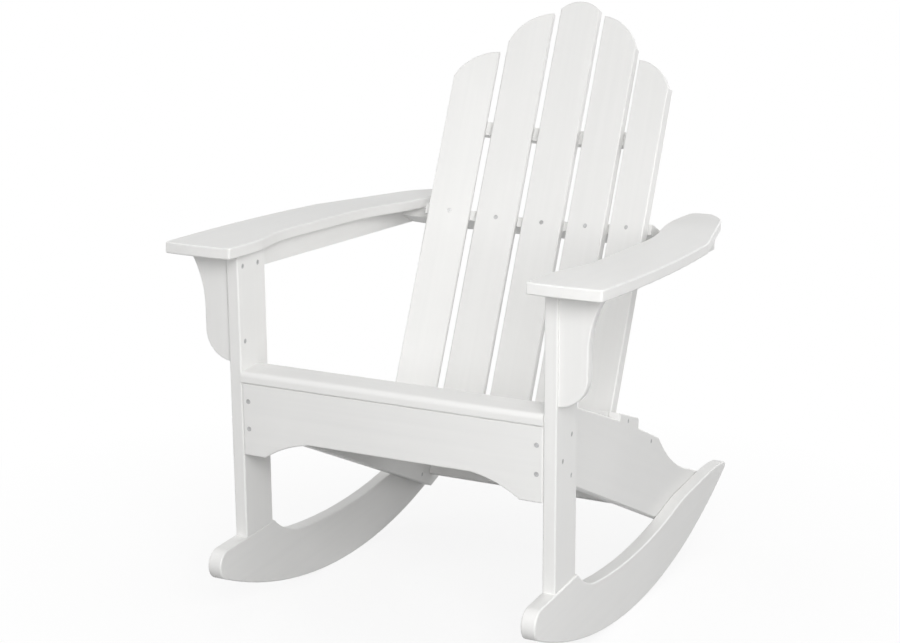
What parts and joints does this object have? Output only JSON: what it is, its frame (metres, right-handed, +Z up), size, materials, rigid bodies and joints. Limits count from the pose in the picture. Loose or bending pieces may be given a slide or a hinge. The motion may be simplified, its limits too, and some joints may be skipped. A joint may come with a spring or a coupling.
{
  "type": "rocking adirondack chair",
  "caption": "Rocking adirondack chair of flat boards: curved rockers, sloping slatted seat, hollow fan-topped slatted back and wide level arms on shaped brackets.",
  "frame": {"origin": "on the floor, under the middle of the chair's width and depth", "axes": "+Z up, -Y towards the front of the chair, +X to the right of someone who faces it"},
  "size_m": [0.8034, 0.9716, 1.053],
  "materials": {
    "frame_boards": "satin white poly lumber",
    "seat_and_arms": "satin white poly lumber",
    "back_slats": "satin white poly lumber",
    "screws": "dull stainless steel"
  },
  "bodies": {
    "root": {"leg_left": "frame_boards", "rocker_left": "frame_boards", "side_rail_left": "frame_boards", "arm_left": "seat_and_arms", "arm_ledger_left": "frame_boards", "bracket_left": "frame_boards", "leg_right": "frame_boards", "rocker_right": "frame_boards", "side_rail_right": "frame_boards", "arm_right": "seat_and_arms", "arm_ledger_right": "frame_boards", "bracket_right": "frame_boards", "apron": "frame_boards", "seat_slat_front": "seat_and_arms", "seat_slat_2": "seat_and_arms", "seat_slat_3": "seat_and_arms", "seat_slat_4": "seat_and_arms", "seat_board_rear": "seat_and_arms", "back_slat_1": "back_slats", "back_slat_2": "back_slats", "back_slat_3": "back_slats", "back_slat_4": "back_slats", "back_slat_5": "back_slats", "back_rail_arms": "frame_boards", "back_rail_seat": "frame_boards", "back_rail_top": "frame_boards", "rear_stretcher": "frame_boards", "screws_apron": "screws", "screws_legs": "screws", "screws_arms": "screws", "screws_rails": "screws", "screws_rockers": "screws", "screws_back": "screws"}
  },
  "joints": []
}
